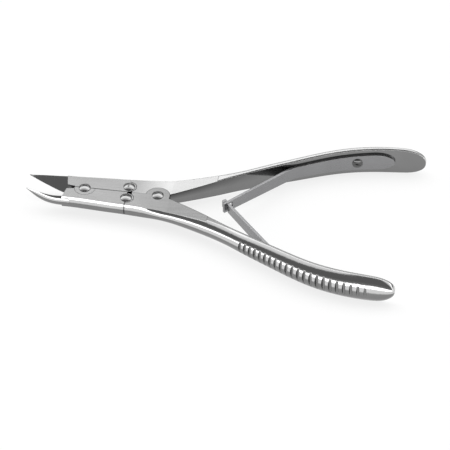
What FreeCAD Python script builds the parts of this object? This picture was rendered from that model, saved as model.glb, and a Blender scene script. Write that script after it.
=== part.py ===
import FreeCAD
import Part
import math
import os

Vector = FreeCAD.Vector

# Bone cutting forceps with double action: two handles turn on a rear pivot, and
# their front ends turn the two jaws about a front pivot.
# Millimetres. The mid-plane is worked on first and then lifted, so that the
# origin is on the handle pivot's axis at the head's flat underside.
# +X runs to the handles' ends, -X to the tips, +Z is the side of the screw heads.
# Each half is drawn on its own +Y side, open as it rests, and the lower one is
# then mirrored.

# Places of the four pivots, open
jaw_pivot_x = -34.7
link_x = -14.3
link_y = 4.1
jaw_opening_angle = 10.0
jaw_tip_reach = 27.4

# Head: flat faces with a bulged outer side
head_thickness = 5.8
side_bulge = 0.85
inner_overlap = 1.5
head_half_widths = [
    (jaw_pivot_x - 14.0, 8.2),
    (jaw_pivot_x - 7.0, 8.6),
    (jaw_pivot_x, 8.9),
    (jaw_pivot_x + 9.0, 9.55),
    (link_x, 10.2),
    (-6.0, 10.9),
]
seam_offset = 0.35
seam_gap = 0.1
seam_run_on = 1.9
butt_gap = 0.1
head_rim = 0.15
ground_stock = 0.1
ground_flat_end_x = 6.0
ground_slope_end_x = 26.0
ground_slope_rise = 1.35

# Handles
crotch_x = 2.0
crotch_inner_y = 0.2
shank_root_x = 11.2
shank_root_y = 4.5
shank_mid_x = 21.5
shank_mid_y = 10.4
shank_end_x = 37.2
shank_end_y = 19.6
shank_width = 5.1
shank_thickness = 10.0
grip_start_x = 48.5
grip_mid_x = 60.2
grip_mid_y = 31.7
grip_width = 5.5
grip_facet = 1.1
grip_thickness = 12.2
grip_end_x = 80.0
grip_end_y = 41.1
grip_end_thickness = 13.4
palm_x = 95.2
palm_y = 45.2
palm_width = 5.9
palm_thickness = 14.0
paddle_x = 108.0
paddle_y = 46.7
paddle_width = 5.4
paddle_thickness = 13.8
handle_reach = 119.3
rim_radius = 0.5
end_fullness = 0.85
end_width_share = 0.35
end_angles = (25, 45, 62, 76, 86)

# Shank behind the head, each row: X, turn in degrees, width, thickness, bulge, rim
shank_rows = [
    (crotch_x, 6.0, 12.0, 6.1, 1.5, head_rim),
    (shank_root_x, 20.0, 9.7, 6.9, 2.0, 0.2),
    (shank_mid_x, 27.0, 7.3, 8.6, 2.7, 0.3),
]

# Ribbed grip
groove_count = 22
groove_first_x = 46.0
groove_pitch = 2.5
groove_pitch_growth = 0.018
groove_depth = 0.9
groove_floor_width = 0.9
groove_mouth_width = 2.1
groove_reach = 0.3

# Laps of the two pivots
lap_gap = 0.06
jaw_lap_radius = 4.8
jaw_lap_clearance = 0.15
handle_lap_radius = 5.6
handle_lap_clearance = 0.15

# Forked jaw tails and handle tongues
tongue_thickness = 2.0
tongue_radius = 2.8
tongue_neck_width = 4.4
tongue_neck_length = 6.0
tongue_side_clearance = 0.05
tongue_end_clearance = 0.7
fork_radius = 3.4
fork_clearance = 0.25
tail_setback = 0.2
handle_front_setback = 2.1

# Screws
pivot_shank_radius = 2.0
link_shank_radius = 1.5
running_clearance = 0.05
open_pivot_clearance = 0.1
screw_head_radius = 2.75
screw_head_rim = 0.3
screw_head_height = 1.35
screw_head_gap = 0.04
screw_slot_width = 0.6
screw_slot_depth = 0.45
screw_end_chamfer = 0.3

# Blades: stations along the jaw from the root to the tip, in the closed jaw
blade_root_reach = 8.5
blade_root_slant = 20.0
# Each row: share of the length, half-width, bulge of the side, then the heights of
# the ridge, the cutting edge and the underside about the mid-plane
blade_rows = [
    (-0.06, 7.75, 1.4, 2.85, -2.3, -2.6),
    (0.22, 6.6, 1.3, 2.7, -2.1, -2.6),
    (0.43, 5.4, 1.0, 2.6, -0.8, -2.2),
    (0.66, 3.5, 0.6, 2.9, 0.8, -0.9),
    (0.85, 1.7, 0.3, 3.25, 2.3, 1.2),
    (1.0, 0.25, 0.08, 3.7, 3.5, 3.3),
]
blade_edge_gap = 0.08
blade_land = 0.16

# Leaf springs
leaf_thickness = 1.2
leaf_seat_gap = 0.06
leaf_base_width = 8.4
leaf_leave_width = 6.5
leaf_tip_rise = 0.7
window_leaf_tip_width = 4.9
tee_leaf_tip_width = 4.4
leaf_end_x = 105.0
leaf_end_length = 9.0
leaf_leave_x = 62.0
leaf_meet_x = 32.8
leaf_outline_margin = 6.0
leaf_bend_length = 4.0
leaf_seat_steps = 12
leaf_bend_steps = 4
leaf_arm_steps = 6
leaf_screw_x = 87.3
leaf_screw_radius = 1.2
leaf_screw_length = 4.5
leaf_screw_head_radius = 2.45
leaf_screw_head_height = 1.1
leaf_screw_head_rim = 0.25
leaf_screw_head_gap = 0.08
leaf_hole_clearance = 0.15
leaf_neck_width = 2.0
leaf_neck_start = 1.6
leaf_neck_reach = 2.9
leaf_tee_width = 3.8
leaf_tee_length = 1.5
leaf_tee_thickness = 1.9
leaf_window_width = 2.6
leaf_window_before = 3.0
leaf_window_after = 1.0
leaf_window_bar = 1.1
leaf_cutter_thickness = 8.0

half = head_thickness / 2
far = 200.0
UPPER = 1
LOWER = -1
jaw_pivot = Vector(jaw_pivot_x, 0, 0)
handle_pivot = Vector(0, 0, 0)
link_pin = Vector(link_x, link_y, 0)


def box(low, high):
    """Box between two corners."""
    return Part.makeBox(
        high[0] - low[0], high[1] - low[1], high[2] - low[2], Vector(*low)
    )


def disc(centre, radius, low_z, high_z):
    """Upright cylinder about a pivot."""
    return Part.makeCylinder(radius, high_z - low_z, Vector(centre.x, centre.y, low_z))


def prism(points, low_z, high_z):
    """Upright prism on a plan polygon."""
    corners = [Vector(x, y, low_z) for x, y in points]
    wire = Part.makePolygon(corners + corners[:1])
    return Part.Face(wire).extrude(Vector(0, 0, high_z - low_z))


def layer(side, reach):
    """Z range of one half of a lap: side +1 is the near half, -1 the far one."""
    if side > 0:
        return lap_gap / 2, reach
    return -reach, -lap_gap / 2


def pocket_layer(side):
    """Z range cut away to let the other part's half of the lap in."""
    if side > 0:
        return -far, lap_gap / 2
    return -lap_gap / 2, far


def smooth_curve(points):
    """Spline through plan points."""
    curve = Part.BSplineCurve()
    curve.interpolate([Vector(x, y, 0) for x, y in points])
    return curve


def side_section(inner, turn, width, thickness, facet, rim):
    """Closed section across a half: flat inside with its corners broken, bulged outside."""
    out = Vector(-math.sin(turn), math.cos(turn), 0)
    high = thickness / 2

    def at(distance, z):
        return Vector(inner[0], inner[1], 0) + out * distance + Vector(0, 0, z)

    top_in = at(0, high - rim)
    top_rim = at(rim, high)
    top_out = at(facet, high)
    low_out = at(facet, -high)
    low_rim = at(rim, -high)
    low_in = at(0, rim - high)
    edges = [
        Part.makeLine(low_in, top_in),
        Part.makeLine(top_in, top_rim),
        Part.makeLine(top_rim, top_out),
        Part.Arc(top_out, at(width, 0), low_out).toShape(),
        Part.makeLine(low_out, low_rim),
        Part.makeLine(low_rim, low_in),
    ]
    return Part.Wire(edges)


# Inner edge of a handle, in plan, from the crotch to the end
inner_points = [
    (crotch_x, crotch_inner_y),
    (shank_root_x, shank_root_y),
    (shank_mid_x, shank_mid_y),
    (shank_end_x, shank_end_y),
    (grip_mid_x, grip_mid_y),
    (grip_end_x, grip_end_y),
    (palm_x, palm_y),
    (paddle_x, paddle_y),
    (handle_reach + 1.0, paddle_y + 0.5),
]
inner_curve = smooth_curve(inner_points)


def inner_at(x):
    """Point and tangent angle on a handle's inner edge at a given X."""
    low = inner_curve.FirstParameter
    high = inner_curve.LastParameter
    for _ in range(40):
        middle = (low + high) / 2
        if inner_curve.value(middle).x < x:
            low = middle
        else:
            high = middle
    point = inner_curve.value(low)
    tangent = inner_curve.tangent(low)[0]
    return point, math.atan2(tangent.y, tangent.x)


def head_sections():
    """Sections of the head, square to the long axis."""
    sections = []
    for x, half_width in head_half_widths:
        reach = half_width + inner_overlap
        facet = reach - side_bulge
        thickness = head_thickness + 2 * ground_stock
        sections.append(side_section((x, -inner_overlap), 0, reach, thickness, facet, head_rim))
    return sections


def handle_sections():
    """Sections of the shank and grip, square to the inner edge."""
    grip_rows = [
        (shank_end_x, shank_width, shank_thickness),
        (grip_start_x, (shank_width + grip_width) / 2, (shank_thickness + grip_thickness) / 2),
        (grip_mid_x, grip_width, grip_thickness),
        (grip_end_x, palm_width, grip_end_thickness),
        (palm_x, palm_width, palm_thickness),
        (paddle_x, paddle_width, paddle_thickness),
    ]
    sections = []
    for x, turn, width, thickness, bulge, rim in shank_rows:
        inner = inner_at(x)[0]
        slope = math.radians(turn)
        sections.append(side_section(inner, slope, width, thickness, width - bulge, rim))
    for x, width, thickness in grip_rows:
        inner, slope = inner_at(x)
        facet = rim_radius + grip_facet
        sections.append(side_section(inner, slope, width, thickness, facet, rim_radius))
    round_length = handle_reach - paddle_x
    for angle in end_angles:
        share = math.cos(math.radians(angle)) ** end_fullness
        inner, slope = inner_at(paddle_x + round_length * math.sin(math.radians(angle)))
        width = paddle_width * (end_width_share + (1 - end_width_share) * share)
        rim = rim_radius * share
        facet = rim + grip_facet * share
        sections.append(side_section(inner, slope, width, paddle_thickness * share, facet, rim))
    return sections


def ground_side():
    """Stock ground off the near face: level over the head, then rising."""
    outline = [
        (-far, half),
        (ground_flat_end_x, half),
        (ground_slope_end_x, half + ground_slope_rise),
        (ground_slope_end_x, far),
        (-far, far),
    ]
    corners = [Vector(x, -far, z) for x, z in outline]
    return Part.Face(Part.makePolygon(corners + corners[:1])).extrude(Vector(0, 2 * far, 0))


def envelope():
    """Whole half before its joints are cut: head, shank and grip in one skin."""
    skin = Part.makeLoft(head_sections() + handle_sections(), True, False)
    near = ground_side()
    return skin.cut(near).cut(near.mirror(Vector(0, 0, 0), Vector(0, 0, 1)))


def grip_grooves():
    """Flat-bottomed notches across the crown of the grip."""
    cutters = []
    for index in range(groove_count):
        x = groove_first_x + index * (groove_pitch + groove_pitch_growth * index)
        point, slope = inner_at(x)
        share = (point.x - shank_end_x) / (palm_x - shank_end_x)
        width = shank_width + (palm_width - shank_width) * min(share, 1.0)
        floor = width - groove_depth
        outline = [
            (-groove_floor_width / 2, floor),
            (groove_floor_width / 2, floor),
            (groove_mouth_width / 2, width + groove_reach),
            (-groove_mouth_width / 2, width + groove_reach),
        ]
        cutter = prism(outline, -far, far)
        cutter.rotate(Vector(0, 0, 0), Vector(0, 0, 1), math.degrees(slope))
        cutter.translate(point)
        cutters.append(cutter)
    return cutters


def make_handle(skin, side, seam_y):
    """Handle on its own +Y side. side is the half of the lap that it holds."""
    limit_x = link_x + butt_gap / 2
    body = skin.cut(box((-far, -far, -far), (limit_x, far, far)))
    body = body.cut(box((-far, -far, -far), (crotch_x + seam_run_on, seam_y, far)))
    body = body.cut(box((-far, -far, -far), (link_x + handle_front_setback, link_y, far)))
    tongue_half = tongue_thickness / 2
    reach = fork_radius + fork_clearance
    body = body.cut(disc(link_pin, reach, tongue_half, far))
    body = body.cut(disc(link_pin, reach, -far, -tongue_half))
    low, high = pocket_layer(side)
    body = body.cut(disc(handle_pivot, handle_lap_radius + handle_lap_clearance, low, high))
    low, high = layer(side, half)
    body = body.fuse(disc(handle_pivot, handle_lap_radius, low, high))
    tongue = disc(link_pin, tongue_radius, -tongue_half, tongue_half)
    neck = box(
        (link_x, link_y - tongue_neck_width / 2, -tongue_half),
        (link_x + tongue_neck_length, link_y + tongue_neck_width / 2, tongue_half),
    )
    body = body.fuse([tongue, neck])
    body = body.cut(disc(link_pin, link_shank_radius + running_clearance, -far, far))
    bore = pivot_shank_radius
    if side == UPPER:
        bore = pivot_shank_radius + running_clearance
    body = body.cut(disc(handle_pivot, bore, -far, far))
    body = body.cut(grip_grooves())
    body = body.cut(leaf_screw_shank())
    return body


def closed_to_open(shape):
    """Turn a jaw's closed geometry to the open pose."""
    shape.rotate(jaw_pivot, Vector(0, 0, 1), -jaw_opening_angle)
    return shape


def blade_section(x, width, bulge, ridge_z, edge_z, under_z):
    """Section of a blade: cutting edge inside, bevel up to the outer ridge."""
    edge_low = Vector(x, blade_edge_gap / 2, edge_z - blade_land / 2)
    edge_high = Vector(x, blade_edge_gap / 2, edge_z + blade_land / 2)
    ridge = Vector(x, width - bulge, ridge_z)
    side = Vector(x, width, (ridge_z + under_z) / 2)
    under = Vector(x, width - bulge, under_z)
    edges = [
        Part.makeLine(edge_high, edge_low),
        Part.makeLine(edge_low, under),
        Part.Arc(under, side, ridge).toShape(),
        Part.makeLine(ridge, edge_high),
    ]
    return Part.Wire(edges)


def make_blade():
    """Hollow-ground blade, closed, from inside the jaw block to the tip."""
    root = jaw_pivot_x - blade_root_reach
    tip = jaw_pivot_x - jaw_tip_reach
    length = root - tip
    sections = []
    for share, width, bulge, ridge_z, edge_z, under_z in blade_rows:
        x = root - share * length
        sections.append(blade_section(x, width, bulge, ridge_z, edge_z, under_z))
    return Part.makeLoft(sections, True, False)


def make_jaw(skin, side, seam_y):
    """Jaw on its own +Y side. side is the half of the lap that it holds."""
    body = skin.cut(box((link_x - butt_gap / 2, -far, -far), (far, far, far)))
    tail_x = link_x - tail_setback
    body = body.cut(box((tail_x, -far, -far), (far, link_y, far)))
    turn = math.radians(jaw_opening_angle)
    front_x = jaw_pivot_x - far * math.cos(turn)
    front_y = far * math.sin(turn)
    gap = blade_edge_gap / 2
    inner_side = [
        (front_x, front_y + gap),
        (jaw_pivot_x, gap),
        (jaw_pivot_x, seam_y),
        (far, seam_y),
        (far, -far),
        (front_x, -far),
    ]
    body = body.cut(prism(inner_side, -far, far))
    root = Vector(jaw_pivot_x - blade_root_reach, 0, 0)
    front = box((-far, -far, -far), (root.x, far, far))
    front.rotate(root, Vector(0, 0, 1), blade_root_slant)
    body = body.cut(closed_to_open(front))
    low, high = pocket_layer(side)
    body = body.cut(disc(jaw_pivot, jaw_lap_radius + jaw_lap_clearance, low, high))
    low, high = layer(side, half)
    lap = disc(jaw_pivot, jaw_lap_radius, low, high)
    fork = disc(link_pin, fork_radius, -half, half)
    body = body.fuse([lap, fork, closed_to_open(make_blade())])
    slot_half = tongue_thickness / 2 + tongue_side_clearance
    slot = disc(link_pin, tongue_radius + tongue_end_clearance, -slot_half, slot_half)
    body = body.cut(slot)
    body = body.cut(disc(link_pin, link_shank_radius, -far, far))
    bore = pivot_shank_radius
    if side == UPPER:
        bore = pivot_shank_radius + open_pivot_clearance
    return body.cut(disc(jaw_pivot, bore, -far, far))


def screw(centre, shank_radius, slot_angle):
    """Slotted screw with a domed head on the near face and a flush end."""
    under = half + screw_head_gap
    head_top = under + screw_head_height
    dome_drop = screw_head_height - screw_head_rim
    sphere_radius = (screw_head_radius ** 2 + dome_drop ** 2) / (2 * dome_drop)
    cap = Part.makeSphere(sphere_radius, Vector(0, 0, head_top - sphere_radius))
    head = disc(Vector(0, 0, 0), screw_head_radius, under, head_top).common(cap)
    slot = box(
        (-screw_head_radius, -screw_slot_width / 2, head_top - screw_slot_depth),
        (screw_head_radius, screw_slot_width / 2, head_top + 1),
    )
    slot.rotate(Vector(0, 0, 0), Vector(0, 0, 1), slot_angle)
    head = head.cut(slot)
    shank = disc(Vector(0, 0, 0), shank_radius, -half + screw_end_chamfer, under)
    end = Part.makeCone(
        shank_radius - screw_end_chamfer, shank_radius, screw_end_chamfer, Vector(0, 0, -half)
    )
    whole = head.fuse([shank, end]).removeSplitter()
    whole.translate(centre)
    return whole


def leaf_seat(x):
    """Point on a handle's inner face and the direction into the handle."""
    point, slope = inner_at(x)
    return point, Vector(-math.sin(slope), math.cos(slope), 0)


def leaf_screw_base():
    """Underside of a leaf screw's head and the direction into the handle."""
    point, into = leaf_seat(leaf_screw_x)
    return point - into * (leaf_seat_gap + leaf_thickness + leaf_screw_head_gap), into


def leaf_screw_shank():
    """Shank of the screw that holds a leaf, also its hole in the handle."""
    base, into = leaf_screw_base()
    return Part.makeCylinder(leaf_screw_radius, leaf_screw_length, base, into)


def leaf_hole():
    """Hole in a leaf for its screw."""
    base, into = leaf_screw_base()
    radius = leaf_screw_radius + leaf_hole_clearance
    start = base - into * leaf_screw_length
    return Part.makeCylinder(radius, 2 * leaf_screw_length, start, into)


def make_leaf_screw():
    """Short slotted screw through a leaf into the handle."""
    base, into = leaf_screw_base()
    drop = leaf_screw_head_height - leaf_screw_head_rim
    sphere_radius = (leaf_screw_head_radius ** 2 + drop ** 2) / (2 * drop)
    head = Part.makeCylinder(leaf_screw_head_radius, leaf_screw_head_height, base, into * -1)
    crown = base - into * (leaf_screw_head_height - sphere_radius)
    head = head.common(Part.makeSphere(sphere_radius, crown))
    slot = box(
        (-leaf_screw_head_radius, -screw_slot_width / 2, leaf_screw_head_height - screw_slot_depth),
        (leaf_screw_head_radius, screw_slot_width / 2, leaf_screw_head_height + screw_slot_depth),
    )
    slot.Placement = FreeCAD.Placement(base, FreeCAD.Rotation(Vector(0, 0, 1), into * -1))
    return leaf_screw_shank().fuse(head.cut(slot))


def leaf_axis(end_length):
    """Centre points and directions of a leaf, from its seat to its free end."""
    offset = leaf_seat_gap + leaf_thickness / 2
    path = []
    for index in range(leaf_seat_steps + 1):
        x = leaf_end_x + (leaf_leave_x - leaf_end_x) * index / leaf_seat_steps
        point, into = leaf_seat(x)
        path.append((point - into * offset, Vector(-into.y, into.x, 0)))
    start, along = path[-1]
    meet = Vector(leaf_meet_x, 0, 0)
    corner = start + along * leaf_bend_length
    arm = (meet - corner).normalize()
    finish = corner + arm * leaf_bend_length
    for index in range(1, leaf_bend_steps + 1):
        t = index / leaf_bend_steps
        place = start * (1 - t) ** 2 + corner * (2 * t * (1 - t)) + finish * t ** 2
        heading = ((corner - start) * (1 - t) + (finish - corner) * t).normalize()
        path.append((place, heading))
    length = (meet - finish).Length + end_length
    for index in range(1, leaf_arm_steps + 1):
        path.append((finish + arm * (length * index / leaf_arm_steps), arm))
    return path, arm


def leaf_outline(tip_width):
    """Side view of a leaf: a half ellipse at the handle's end, tapering to the tip."""
    base_half = leaf_base_width / 2
    shoulder_x = leaf_end_x - leaf_end_length
    ellipse = Part.Ellipse(Vector(shoulder_x, 0, 0), leaf_end_length, base_half)
    ellipse.rotate(FreeCAD.Placement(Vector(0, 0, 0), Vector(1, 0, 0), 90))
    quarter = math.pi / 2
    end = ellipse.toShape(-quarter, quarter)
    ends = sorted((vertex.Point for vertex in end.Vertexes), key=lambda point: point.z)
    low, high = ends[0], ends[-1]
    points = [
        high,
        Vector(leaf_leave_x, 0, leaf_leave_width / 2),
        Vector(leaf_meet_x - leaf_outline_margin, 0, leaf_tip_rise + tip_width / 2),
        Vector(leaf_meet_x - leaf_outline_margin, 0, leaf_tip_rise - tip_width / 2),
        Vector(leaf_leave_x, 0, -leaf_leave_width / 2),
        low,
    ]
    edges = [Part.makeLine(first, second) for first, second in zip(points, points[1:])]
    shape = Part.Face(Part.Wire([end] + edges)).extrude(Vector(0, far, 0))
    shape.translate(Vector(0, -far / 4, 0))
    return shape


def leaf_strip(end_length, tip_width):
    """Leaf of even thickness whose width tapers to its free end."""
    path, arm = leaf_axis(end_length)
    sides = []
    for sign in (1, -1):
        points = []
        for place, heading in path:
            across = Vector(-heading.y, heading.x, 0) * (sign * leaf_thickness / 2)
            points.append(place + across)
        curve = Part.BSplineCurve()
        curve.interpolate(points)
        sides.append((curve.toShape(), points))
    first, first_points = sides[0]
    second, second_points = sides[1]
    wire = Part.Wire([
        first,
        Part.makeLine(first_points[-1], second_points[-1]),
        second,
        Part.makeLine(second_points[0], first_points[0]),
    ])
    strip = Part.Face(wire).extrude(Vector(0, 0, leaf_base_width))
    strip.translate(Vector(0, 0, -leaf_base_width / 2))
    return strip.common(leaf_outline(tip_width)), arm


def arm_block(arm, start, end, thick, low_z, high_z):
    """Block along a leaf's arm, from where the leaves meet and about the tip's height."""
    low = leaf_tip_rise + low_z
    high = leaf_tip_rise + high_z
    block = box((start, -thick / 2, low), (end, thick / 2, high))
    block.rotate(Vector(0, 0, 0), Vector(0, 0, 1), math.degrees(math.atan2(arm.y, arm.x)))
    block.translate(Vector(leaf_meet_x, 0, 0))
    return block


def make_tee_leaf():
    """Leaf whose end narrows to a neck with a cross-bar."""
    strip, arm = leaf_strip(leaf_neck_reach, tee_leaf_tip_width)
    neck_half = leaf_neck_width / 2
    for low, high in ((-far, -neck_half), (neck_half, far)):
        strip = strip.cut(arm_block(arm, -leaf_neck_start, far, leaf_cutter_thickness, low, high))
    tee_half = leaf_tee_width / 2
    tee_start = leaf_neck_reach - leaf_tee_length
    tee = arm_block(arm, tee_start, leaf_neck_reach, leaf_tee_thickness, -tee_half, tee_half)
    return strip.fuse(tee).cut(leaf_hole())


def make_window_leaf():
    """Leaf whose end holds a window for the other leaf's neck."""
    strip, arm = leaf_strip(leaf_window_after + leaf_window_bar, window_leaf_tip_width)
    low = -leaf_window_width / 2
    high = leaf_window_width / 2
    start = -leaf_window_before
    window = arm_block(arm, start, leaf_window_after, leaf_cutter_thickness, low, high)
    return strip.cut(window).cut(leaf_hole())


def mirror_down(shape):
    """Mirror a half to the lower side."""
    return shape.mirror(Vector(0, 0, 0), Vector(0, 1, 0))


def build():
    """All pieces in the part's frame."""
    skin = envelope()
    upper_seam = seam_offset + seam_gap / 2
    lower_seam = -seam_offset + seam_gap / 2
    upper_handle = make_handle(skin, LOWER, upper_seam)
    lower_handle = make_handle(skin, UPPER, lower_seam)
    upper_jaw = make_jaw(skin, UPPER, upper_seam)
    lower_jaw = make_jaw(skin, LOWER, lower_seam)
    low_link = Vector(link_x, -link_y, 0)
    pieces = {
        "upper_handle": upper_handle,
        "lower_handle": mirror_down(lower_handle),
        "upper_jaw": upper_jaw,
        "lower_jaw": mirror_down(lower_jaw),
        "jaw_pivot_screw": screw(jaw_pivot, pivot_shank_radius, 8),
        "handle_pivot_screw": screw(handle_pivot, pivot_shank_radius, 24),
        "upper_link_screw": screw(link_pin, link_shank_radius, 80),
        "lower_link_screw": screw(low_link, link_shank_radius, 0),
        "upper_leaf_spring": make_window_leaf(),
        "lower_leaf_spring": mirror_down(make_tee_leaf()),
        "upper_spring_screw": make_leaf_screw(),
        "lower_spring_screw": mirror_down(make_leaf_screw()),
    }
    for shape in pieces.values():
        shape.translate(Vector(0, 0, half))
    return pieces


def main():
    os.makedirs("parts", exist_ok=True)
    for name, shape in build().items():
        shape.exportStep("parts/" + name + ".step")
        low = shape.BoundBox
        print(
            name, "solids", len(shape.Solids), "valid", shape.isValid(),
            "volume", round(shape.Volume, 2),
            "x", round(low.XMin, 2), round(low.XMax, 2),
            "y", round(low.YMin, 2), round(low.YMax, 2),
            "z", round(low.ZMin, 2), round(low.ZMax, 2),
        )


main()
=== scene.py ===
import math

import bmesh
import bpy
from mathutils import Matrix, Vector


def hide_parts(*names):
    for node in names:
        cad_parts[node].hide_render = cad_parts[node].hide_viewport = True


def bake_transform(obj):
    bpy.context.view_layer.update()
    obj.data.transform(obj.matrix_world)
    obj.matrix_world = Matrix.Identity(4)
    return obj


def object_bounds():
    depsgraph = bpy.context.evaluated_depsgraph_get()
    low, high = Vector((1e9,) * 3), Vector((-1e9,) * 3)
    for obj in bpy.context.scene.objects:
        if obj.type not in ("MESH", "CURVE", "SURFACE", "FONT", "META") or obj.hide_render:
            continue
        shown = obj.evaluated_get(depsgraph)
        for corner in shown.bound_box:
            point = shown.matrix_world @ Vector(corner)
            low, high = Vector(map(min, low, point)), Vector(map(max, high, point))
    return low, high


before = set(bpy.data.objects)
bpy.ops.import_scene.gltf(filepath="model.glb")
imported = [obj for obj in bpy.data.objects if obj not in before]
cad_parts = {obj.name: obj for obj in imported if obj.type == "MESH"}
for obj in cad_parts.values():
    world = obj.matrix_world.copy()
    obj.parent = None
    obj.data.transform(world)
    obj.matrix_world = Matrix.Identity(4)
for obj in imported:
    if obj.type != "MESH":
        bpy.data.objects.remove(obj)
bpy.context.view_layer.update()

MM = 0.001

# Camera of the photograph: a long lens seen from the near side, above the lower handle
CAMERA_ELEVATION = math.radians(39.0)
CAMERA_AZIMUTH = math.radians(10.4)
CAMERA_ROLL = math.radians(0.75)
CAMERA_DISTANCE = 3.0
CAMERA_REACH = 20.0
PIXELS_ACROSS = 450
PIXELS_PER_METRE = 2142.0
SENSOR_WIDTH = 36.0
PIVOT_PIXEL = (157.9, 200.2)
HEAD_THICKNESS = 5.8 * MM

# Span of the upper leaf, from its handle on, and the cuts across it. The lower leaf mirrors it
SPRING_BEND_START = Vector((66.0, 34.3, 2.9)) * MM
SPRING_BEND_END = Vector((52.0, 22.0, 2.9)) * MM
SPRING_LOOPS = 14

# Where painted shade lays a dark line along the head's seam and the butt of jaw and handle
SEAM_Y = 0.35 * MM
SEAM_SHADE_WIDTH = 0.3 * MM
BUTT_X = -14.3 * MM
BUTT_SHADE_WIDTH = 0.35 * MM
SEAM_SHADE_TONE = 0.25

# Share of the base tone by the upward part of the surface's direction, painted light and shade:
# painted shade where it looks sideways or down, a painted highlight on the rounded sides, a middle
# tone on the flat faces
SLOPE_PAINTED_LIGHT = [(0.0, 0.38), (0.03, 0.42), (0.12, 1.0), (0.45, 1.0), (0.62, 0.55), (1.0, 0.55)]

# Tilt of the handles' normals towards -Y, where it starts and where it is full
UPPER_LEAN = 0.075
LOWER_LEAN = -0.02
LEAN_START_X = -13.0 * MM
LEAN_FULL_X = 4.0 * MM

# Painted shade on the upright walls between the shanks, strongest near the crotch and towards the
# top
CROTCH_X = 6.0 * MM
CROTCH_END_X = 52.0 * MM
CROTCH_LOW_Z = 2.5 * MM
CROTCH_HIGH_Z = 6.0 * MM
CROTCH_SHADE_DEPTH = 0.8
CROTCH_LOW_SHARE = 0.15
UPRIGHT_SLOPE = 0.03

# Edges are crisp on the head and rounder from the shanks on. Screws and leaves have one radius
HEAD_END_X = 4.0 * MM
SHANK_START_X = 16.0 * MM
HEAD_EDGE_RADIUS = 0.06 * MM
SHANK_EDGE_RADIUS = 0.5 * MM
EDGE_RADIUS = 0.2 * MM
EDGE_SAMPLES = 6

# Steels: base colour, then roughness on the flat faces and on the rest
POLISHED_TONE = (0.62, 0.62, 0.62)
POLISHED_ROUGHNESS = (0.22, 0.1)
SCREW_TONE = (0.25, 0.25, 0.25)
SCREW_ROUGHNESS = (0.22, 0.18)
# The leaf screws' steel is darker than the other screws': painted shade for the dark surroundings
# they reflect
LEAF_SCREW_SHADED_TONE = (0.12, 0.12, 0.12)
LEAF_SCREW_ROUGHNESS = (0.2, 0.16)
LEAF_TONE = (0.27, 0.27, 0.275)
LEAF_ROUGHNESS = (0.3, 0.28)

# Upward part of the direction at which a face starts to be flat, and is flat
FLAT_START = 0.93
FLAT_FULL = 0.99

# Fine lines left by polishing: their noise, its stretch along a piece, their depth and
# strength, and the change of roughness over them
LINES_NOISE = {"Scale": 900.0, "Detail": 3.0, "Roughness": 0.6}
ALONG_THE_PIECE = (0.06, 1.0, 1.0)
ALONG_THE_LEAF = (0.06, 0.06, 1.0)
ALL_ROUND = (1.0, 1.0, 1.0)
LINES_DEPTH = 0.02 * MM
BRUSHED_LINES = 0.25
TURNED_LINES = 0.1
WORN_LOW = -0.04
WORN_HIGH = 0.05

# Soft clouds of a hand-ground surface, with the tone at their dark end
CLOUD_NOISE = {"Scale": 90.0, "Detail": 2.0, "Roughness": 0.5}
CLOUD_TONE = 0.94

# Part of a noise's range over which it has its effect
NOISE_LOW = 0.3
NOISE_HIGH = 0.7

# Floor: its reach, its gap under the part and its finish
FLOOR_REACH = 4.0
FLOOR_GAP = 0.1 * MM
FLOOR_ROUGHNESS = 0.9
FLOOR_SPECULAR = 0.1
FLOOR_NOISE = {"Scale": 4.0, "Detail": 1.0}
FLOOR_GREY = 0.72
FLOOR_GRAIN = 0.02
FLOOR_GLOW = 0.8

# Studio light along the arc from the near horizon, over the top, to the far one
STUDIO_STRENGTH = 3.2
STUDIO_LEVELS = [
    (0.00, 1.0), (0.08, 1.0), (0.13, 0.08), (0.40, 0.08), (0.46, 0.52),
    (0.53, 0.58), (0.58, 1.0), (0.71, 1.0), (0.80, 0.30), (0.87, 0.10), (1.0, 0.06),
]


def make_camera():
    """Camera at the photograph's angle, aimed so that the pivot falls on its pixel."""
    sin_a, cos_a = math.sin(CAMERA_AZIMUTH), math.cos(CAMERA_AZIMUTH)
    sin_e, cos_e = math.sin(CAMERA_ELEVATION), math.cos(CAMERA_ELEVATION)
    back = Vector((sin_a * cos_e, -cos_a * cos_e, sin_e))
    level = Vector((cos_a, sin_a, 0))
    upright = back.cross(level)
    right = level * math.cos(CAMERA_ROLL) - upright * math.sin(CAMERA_ROLL)
    up = back.cross(right)
    centre = PIXELS_ACROSS / 2
    across = (centre - PIVOT_PIXEL[0]) / PIXELS_PER_METRE
    down = (centre - PIVOT_PIXEL[1]) / PIXELS_PER_METRE
    target = Vector((0, 0, HEAD_THICKNESS / 2)) + right * across - up * down
    data = bpy.data.cameras.new("camera")
    data.sensor_width = SENSOR_WIDTH
    data.lens = PIXELS_PER_METRE * CAMERA_DISTANCE * SENSOR_WIDTH / PIXELS_ACROSS
    data.clip_end = CAMERA_REACH
    camera = bpy.data.objects.new("camera", data)
    bpy.context.collection.objects.link(camera)
    camera.location = target + back * CAMERA_DISTANCE
    camera.rotation_euler = Matrix((right, up, back)).transposed().to_euler()
    bpy.context.scene.camera = camera


def node(tree, kind, inputs=None, **settings):
    """New shader node with its settings and unlinked inputs."""
    made = tree.nodes.new(kind)
    for name, value in settings.items():
        setattr(made, name, value)
    for name, value in (inputs or {}).items():
        made.inputs[name].default_value = value
    return made


def grey_ramp(tree, stops, interpolation="LINEAR"):
    """Colour ramp of greys, one stop for each position and level."""
    ramp = node(tree, "ShaderNodeValToRGB")
    ramp.color_ramp.interpolation = interpolation
    elements = ramp.color_ramp.elements
    while len(elements) > 1:
        elements.remove(elements[-1])
    elements[0].position = stops[0][0]
    elements[0].color = [stops[0][1]] * 3 + [1.0]
    for position, level in stops[1:]:
        made = elements.new(position)
        made.color = [level] * 3 + [1.0]
    return ramp


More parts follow.
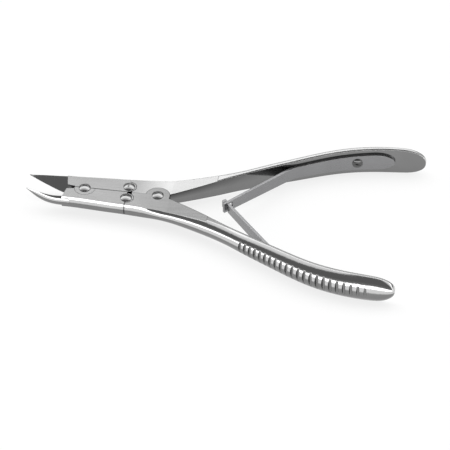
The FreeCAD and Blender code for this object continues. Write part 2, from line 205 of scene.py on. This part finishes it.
def multiply(tree, first, second):
    """Product of two colours. The mix node has its colours at inputs 6 and 7 and output 2."""
    mix = node(tree, "ShaderNodeMix", data_type="RGBA", blend_type="MULTIPLY")
    mix.inputs["Factor"].default_value = 1.0
    tree.links.new(first, mix.inputs[6])
    tree.links.new(second, mix.inputs[7])
    return mix.outputs[2]


def painted_line_shade(tree, value, place, width):
    """Grey that is dark within a line's width of a place and 1 elsewhere."""
    offset = node(tree, "ShaderNodeMath", {1: place}, operation="SUBTRACT")
    tree.links.new(value, offset.inputs[0])
    distance = node(tree, "ShaderNodeMath", operation="ABSOLUTE")
    tree.links.new(offset.outputs["Value"], distance.inputs[0])
    mark = node(tree, "ShaderNodeMapRange", {"From Min": width / 2, "From Max": width,
                                             "To Min": SEAM_SHADE_TONE, "To Max": 1.0})
    tree.links.new(distance.outputs["Value"], mark.inputs["Value"])
    return mark.outputs["Result"]


def seam_painted_shade(tree, spot):
    """Painted shade as a dark line at the seam between the halves and where jaw and handle butt.
    """
    split = node(tree, "ShaderNodeSeparateXYZ")
    tree.links.new(spot, split.inputs["Vector"])
    seam = painted_line_shade(tree, split.outputs["Y"], SEAM_Y, SEAM_SHADE_WIDTH)
    butt = painted_line_shade(tree, split.outputs["X"], BUTT_X, BUTT_SHADE_WIDTH)
    # The seam shows on the head alone, in front of the links
    front = node(tree, "ShaderNodeMath", {1: BUTT_X}, operation="GREATER_THAN")
    tree.links.new(split.outputs["X"], front.inputs[0])
    kept = node(tree, "ShaderNodeMath", operation="MAXIMUM")
    tree.links.new(seam, kept.inputs[0])
    tree.links.new(front.outputs["Value"], kept.inputs[1])
    # The butt's painted shade is left off the upper pieces
    upper = node(tree, "ShaderNodeMath", {1: 0.0}, operation="GREATER_THAN")
    tree.links.new(split.outputs["Y"], upper.inputs[0])
    lower_butt_shade = node(tree, "ShaderNodeMath", operation="MAXIMUM")
    tree.links.new(butt, lower_butt_shade.inputs[0])
    tree.links.new(upper.outputs["Value"], lower_butt_shade.inputs[1])
    both = node(tree, "ShaderNodeMath", operation="MULTIPLY")
    tree.links.new(kept.outputs["Value"], both.inputs[0])
    tree.links.new(lower_butt_shade.outputs["Value"], both.inputs[1])
    return both.outputs["Value"]


def crotch_painted_shade(tree, spot, slope):
    """Grey of painted shade, dark on the walls between the shanks near the crotch."""
    split = node(tree, "ShaderNodeSeparateXYZ")
    tree.links.new(spot, split.inputs["Vector"])
    depth = node(tree, "ShaderNodeMapRange", {"From Min": CROTCH_X, "From Max": CROTCH_END_X,
                                              "To Min": CROTCH_SHADE_DEPTH, "To Max": 0.0})
    tree.links.new(split.outputs["X"], depth.inputs["Value"])
    height = node(tree, "ShaderNodeMapRange", {"From Min": CROTCH_LOW_Z, "From Max": CROTCH_HIGH_Z,
                                               "To Min": CROTCH_LOW_SHARE, "To Max": 1.0})
    tree.links.new(split.outputs["Z"], height.inputs["Value"])
    amount = node(tree, "ShaderNodeMath", operation="MULTIPLY")
    tree.links.new(depth.outputs["Result"], amount.inputs[0])
    tree.links.new(height.outputs["Result"], amount.inputs[1])
    tone = node(tree, "ShaderNodeMath", {0: 1.0}, operation="SUBTRACT")
    tree.links.new(amount.outputs["Value"], tone.inputs[1])
    # Only flat upright walls get the painted shade
    rounded = node(tree, "ShaderNodeMath", {1: UPRIGHT_SLOPE}, operation="GREATER_THAN")
    tree.links.new(slope, rounded.inputs[0])
    kept = node(tree, "ShaderNodeMath", operation="MAXIMUM")
    tree.links.new(tone.outputs["Value"], kept.inputs[0])
    tree.links.new(rounded.outputs["Value"], kept.inputs[1])
    return kept.outputs["Value"]


def steel(name, colour, roughness, grain=ALL_ROUND, bump=BRUSHED_LINES,
          edge_radius=EDGE_RADIUS, shaped_with_painted_shade=False, lean=0.0):
    """Steel: brushed on its flat faces, polished where it is rounded. On the jaws and handles
    the tone also carries painted light and shade: a painted highlight on the rounded sides,
    painted shade on the undersides, along the seams and on the walls between the shanks. lean
    tilts the piece's normals behind the links."""
    satin, polished = roughness
    material = bpy.data.materials.new(name)
    material.use_nodes = True
    tree = material.node_tree
    link = tree.links.new
    tree.nodes.clear()
    output = node(tree, "ShaderNodeOutputMaterial")
    shader = node(tree, "ShaderNodeBsdfPrincipled", {"Metallic": 1.0})
    link(shader.outputs["BSDF"], output.inputs["Surface"])
    place = node(tree, "ShaderNodeTexCoord")

    # Fine lines left by the last polishing, along the piece
    stretch = node(tree, "ShaderNodeMapping", {"Scale": grain})
    link(place.outputs["Object"], stretch.inputs["Vector"])
    lines = node(tree, "ShaderNodeTexNoise", LINES_NOISE)
    link(stretch.outputs["Vector"], lines.inputs["Vector"])

    # Soft unevenness of a hand-ground surface
    cloud = node(tree, "ShaderNodeTexNoise", CLOUD_NOISE)
    link(place.outputs["Object"], cloud.inputs["Vector"])

    # Flat near and far faces are satin, the rest is polished
    geometry = node(tree, "ShaderNodeNewGeometry")
    split = node(tree, "ShaderNodeSeparateXYZ")
    link(geometry.outputs["Normal"], split.inputs["Vector"])
    upright = node(tree, "ShaderNodeMath", operation="ABSOLUTE")
    link(split.outputs["Z"], upright.inputs[0])
    flat = node(tree, "ShaderNodeMapRange", {"From Min": FLAT_START, "From Max": FLAT_FULL,
                                             "To Min": polished, "To Max": satin})
    link(upright.outputs["Value"], flat.inputs["Value"])
    worn = node(tree, "ShaderNodeMapRange", {"From Min": NOISE_LOW, "From Max": NOISE_HIGH,
                                             "To Min": WORN_LOW, "To Max": WORN_HIGH})
    link(lines.outputs["Fac"], worn.inputs["Value"])
    rough = node(tree, "ShaderNodeMath", operation="ADD", use_clamp=True)
    link(flat.outputs["Result"], rough.inputs[0])
    link(worn.outputs["Result"], rough.inputs[1])
    link(rough.outputs["Value"], shader.inputs["Roughness"])

    # Slight change of tone over the surface
    ramp = node(tree, "ShaderNodeValToRGB")
    ramp.color_ramp.elements[0].position = NOISE_LOW
    ramp.color_ramp.elements[0].color = [level * CLOUD_TONE for level in colour] + [1.0]
    ramp.color_ramp.elements[1].position = NOISE_HIGH
    ramp.color_ramp.elements[1].color = list(colour) + [1.0]
    link(cloud.outputs["Fac"], ramp.inputs["Fac"])
    tone = ramp.outputs["Color"]
    if shaped_with_painted_shade:
        # Painted light and shade by how far the surface faces up: painted shade on sides and
        # undersides, a painted highlight on the rounded sides
        slope = grey_ramp(tree, SLOPE_PAINTED_LIGHT)
        link(split.outputs["Z"], slope.inputs["Fac"])
        tone = multiply(tree, tone, slope.outputs["Color"])
        # Painted shade along the head's seam and the lower butt
        tone = multiply(tree, tone, seam_painted_shade(tree, place.outputs["Object"]))
        # Painted shade on the walls between the shanks
        shade = crotch_painted_shade(tree, place.outputs["Object"], upright.outputs["Value"])
        tone = multiply(tree, tone, shade)
    link(tone, shader.inputs["Base Color"])

    # Edges broken by hand, crisp on the head, then the fine lines over them
    edge = node(tree, "ShaderNodeBevel", {"Radius": edge_radius}, samples=EDGE_SAMPLES)
    if shaped_with_painted_shade:
        where = node(tree, "ShaderNodeSeparateXYZ")
        link(place.outputs["Object"], where.inputs["Vector"])
        radius = node(tree, "ShaderNodeMapRange", {
            "From Min": HEAD_END_X, "From Max": SHANK_START_X,
            "To Min": HEAD_EDGE_RADIUS, "To Max": edge_radius})
        link(where.outputs["X"], radius.inputs["Value"])
        link(radius.outputs["Result"], edge.inputs["Radius"])
    normal = edge.outputs["Normal"]
    if lean:
        normal = leaning_normal(tree, normal, place.outputs["Object"], lean)
    height = node(tree, "ShaderNodeBump", {"Strength": bump, "Distance": LINES_DEPTH})
    link(normal, height.inputs["Normal"])
    link(lines.outputs["Fac"], height.inputs["Height"])
    link(height.outputs["Normal"], shader.inputs["Normal"])
    return material


def leaning_normal(tree, normal, spot, lean):
    """Normal tilted towards -Y behind the links by lean, as hand grinding leaves a handle."""
    split = node(tree, "ShaderNodeSeparateXYZ")
    tree.links.new(spot, split.inputs["Vector"])
    amount = node(tree, "ShaderNodeMapRange", {"From Min": LEAN_START_X, "From Max": LEAN_FULL_X,
                                               "To Min": 0.0, "To Max": -lean})
    tree.links.new(split.outputs["X"], amount.inputs["Value"])
    tilt = node(tree, "ShaderNodeCombineXYZ")
    tree.links.new(amount.outputs["Result"], tilt.inputs["Y"])
    total = node(tree, "ShaderNodeVectorMath", operation="ADD")
    tree.links.new(normal, total.inputs[0])
    tree.links.new(tilt.outputs["Vector"], total.inputs[1])
    unit = node(tree, "ShaderNodeVectorMath", operation="NORMALIZE")
    tree.links.new(total.outputs["Vector"], unit.inputs[0])
    return unit.outputs["Vector"]


def floor_material():
    """Plain pale floor that shows white and keeps a light shadow."""
    material = bpy.data.materials.new("floor")
    material.use_nodes = True
    tree = material.node_tree
    link = tree.links.new
    shader = tree.nodes["Principled BSDF"]
    shader.inputs["Roughness"].default_value = FLOOR_ROUGHNESS
    shader.inputs["Specular IOR Level"].default_value = FLOOR_SPECULAR
    grain = node(tree, "ShaderNodeTexNoise", FLOOR_NOISE)
    ramp = grey_ramp(tree, [(0.0, FLOOR_GREY), (1.0, FLOOR_GREY + FLOOR_GRAIN)])
    link(grain.outputs["Fac"], ramp.inputs["Fac"])
    link(ramp.outputs["Color"], shader.inputs["Base Color"])

    # White background, in the picture and in the steel alike
    path = node(tree, "ShaderNodeLightPath")
    seen = path.outputs["Is Camera Ray"]
    for kind in ("Is Glossy Ray", "Is Transmission Ray"):
        either = node(tree, "ShaderNodeMath", operation="MAXIMUM")
        link(seen, either.inputs[0])
        link(path.outputs[kind], either.inputs[1])
        seen = either.outputs["Value"]
    share = node(tree, "ShaderNodeMath", {1: FLOOR_GLOW}, operation="MULTIPLY")
    link(seen, share.inputs[0])
    glow = node(tree, "ShaderNodeEmission", {"Strength": 1.0})
    mix = node(tree, "ShaderNodeMixShader")
    link(share.outputs["Value"], mix.inputs["Fac"])
    link(shader.outputs["BSDF"], mix.inputs[1])
    link(glow.outputs["Emission"], mix.inputs[2])
    link(mix.outputs["Shader"], tree.nodes["Material Output"].inputs["Surface"])
    return material


def make_floor():
    """Pale floor that the forceps lies on."""
    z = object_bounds()[0][2] - FLOOR_GAP
    signs = ((-1, -1), (1, -1), (1, 1), (-1, 1))
    corners = [(x * FLOOR_REACH, y * FLOOR_REACH, z) for x, y in signs]
    mesh = bpy.data.meshes.new("floor")
    mesh.from_pydata(corners, [], [(0, 1, 2, 3)])
    floor = bpy.data.objects.new("floor", mesh)
    bpy.context.collection.objects.link(floor)
    mesh.materials.append(floor_material())


def make_world():
    """Soft studio light as a gradient, dark on the camera's side and low at the back."""
    world = bpy.data.worlds.new("studio")
    bpy.context.scene.world = world
    world.use_nodes = True
    tree = world.node_tree
    link = tree.links.new
    tree.nodes.clear()
    output = node(tree, "ShaderNodeOutputWorld")
    light = node(tree, "ShaderNodeBackground")
    link(light.outputs["Background"], output.inputs["Surface"])
    place = node(tree, "ShaderNodeTexCoord")
    split = node(tree, "ShaderNodeSeparateXYZ")
    link(place.outputs["Generated"], split.inputs["Vector"])
    # Position along the arc from the camera side's horizon, over the top, to the back
    turn = node(tree, "ShaderNodeMath", operation="ARCTAN2")
    link(split.outputs["Z"], turn.inputs[0])
    flip = node(tree, "ShaderNodeMath", {1: -1.0}, operation="MULTIPLY")
    link(split.outputs["Y"], flip.inputs[0])
    link(flip.outputs["Value"], turn.inputs[1])
    share = node(tree, "ShaderNodeMath", {1: math.pi}, operation="DIVIDE")
    link(turn.outputs["Value"], share.inputs[0])
    ramp = grey_ramp(tree, STUDIO_LEVELS, "EASE")
    link(share.outputs["Value"], ramp.inputs["Fac"])
    link(ramp.outputs["Color"], light.inputs["Color"])
    light.inputs["Strength"].default_value = STUDIO_STRENGTH


def paint(name, material):
    """Give a CAD node its material."""
    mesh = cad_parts[name].data
    if not mesh.materials:
        mesh.materials.append(material)
    for index in range(len(mesh.materials)):
        mesh.materials[index] = material


def make_spring(side, material):
    """Copy of the leaf with loops cut across it where it leaves its handle; it keeps its CAD
    shape.
    """
    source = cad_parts[side + "_leaf_spring"]
    leaf = bpy.data.objects.new(side + "_leaf", source.data.copy())
    bpy.context.collection.objects.link(leaf)
    sign = 1 if side == "upper" else -1
    start = Vector((SPRING_BEND_START.x, sign * SPRING_BEND_START.y, SPRING_BEND_START.z))
    end = Vector((SPRING_BEND_END.x, sign * SPRING_BEND_END.y, SPRING_BEND_END.z))
    work = bmesh.new()
    work.from_mesh(leaf.data)
    along = (end - start).normalized()
    for index in range(SPRING_LOOPS + 1):
        point = start.lerp(end, index / SPRING_LOOPS)
        everything = work.verts[:] + work.edges[:] + work.faces[:]
        bmesh.ops.bisect_plane(work, geom=everything, plane_co=point, plane_no=along)
    work.to_mesh(leaf.data)
    work.free()
    leaf.data.materials.clear()
    leaf.data.materials.append(material)
    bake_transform(leaf)
    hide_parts(side + "_leaf_spring")


def main():
    """Camera, finish of every piece, springs with cuts across them, floor and light."""
    make_camera()
    jaws = steel("jaw_steel", POLISHED_TONE, POLISHED_ROUGHNESS, ALONG_THE_PIECE, shaped_with_painted_shade=True)
    upper = steel("upper_handle_steel", POLISHED_TONE, POLISHED_ROUGHNESS, ALONG_THE_PIECE,
                  edge_radius=SHANK_EDGE_RADIUS, shaped_with_painted_shade=True, lean=UPPER_LEAN)
    lower = steel("lower_handle_steel", POLISHED_TONE, POLISHED_ROUGHNESS, ALONG_THE_PIECE,
                  edge_radius=SHANK_EDGE_RADIUS, shaped_with_painted_shade=True, lean=LOWER_LEAN)
    screws = steel("screw_steel", SCREW_TONE, SCREW_ROUGHNESS, bump=TURNED_LINES)
    # Darker steel on the leaf screws, painted shade for what they reflect
    leaf_screws = steel("leaf_screw_shaded_steel", LEAF_SCREW_SHADED_TONE, LEAF_SCREW_ROUGHNESS,
                        bump=TURNED_LINES)
    leaves = steel("spring_steel", LEAF_TONE, LEAF_ROUGHNESS, ALONG_THE_LEAF)
    paint("upper_jaw", jaws)
    paint("lower_jaw", jaws)
    paint("upper_handle", upper)
    paint("lower_handle", lower)
    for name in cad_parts:
        if name.endswith("_spring_screw"):
            paint(name, leaf_screws)
        elif name.endswith("_screw"):
            paint(name, screws)
    for side in ("upper", "lower"):
        make_spring(side, leaves)
    make_floor()
    make_world()
    bpy.context.scene.view_settings.view_transform = "Standard"


main()
